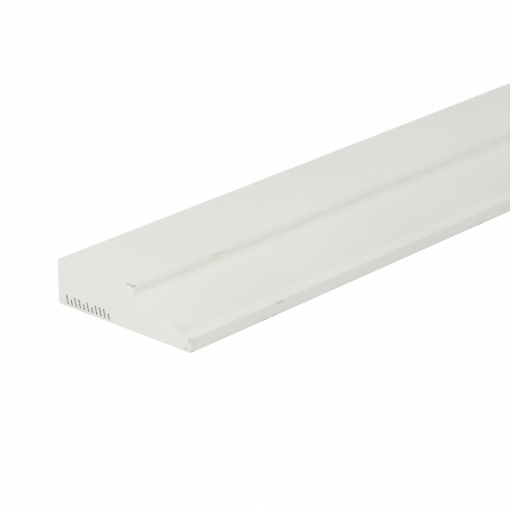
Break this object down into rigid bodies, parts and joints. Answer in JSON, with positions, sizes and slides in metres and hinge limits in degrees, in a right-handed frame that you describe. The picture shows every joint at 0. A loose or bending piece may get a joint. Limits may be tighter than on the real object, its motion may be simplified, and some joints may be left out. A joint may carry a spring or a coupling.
{
  "type": "architrave moulding",
  "caption": "Ogee architrave moulding: a straight length of white-primed trim with a plain flat, a small step and an S-curve down to a thin inner edge, for casing a door or window opening.",
  "frame": {"origin": "middle of the flat back face, half-way along the length and half-way across the width", "axes": "+X along the length, +Y across the width towards the thick outer edge, +Z out of the moulded face"},
  "size_m": [2.1, 0.068, 0.018],
  "materials": {
    "primed_board": "matte"
  },
  "bodies": {
    "root": {"architrave": "primed_board"}
  },
  "joints": []
}
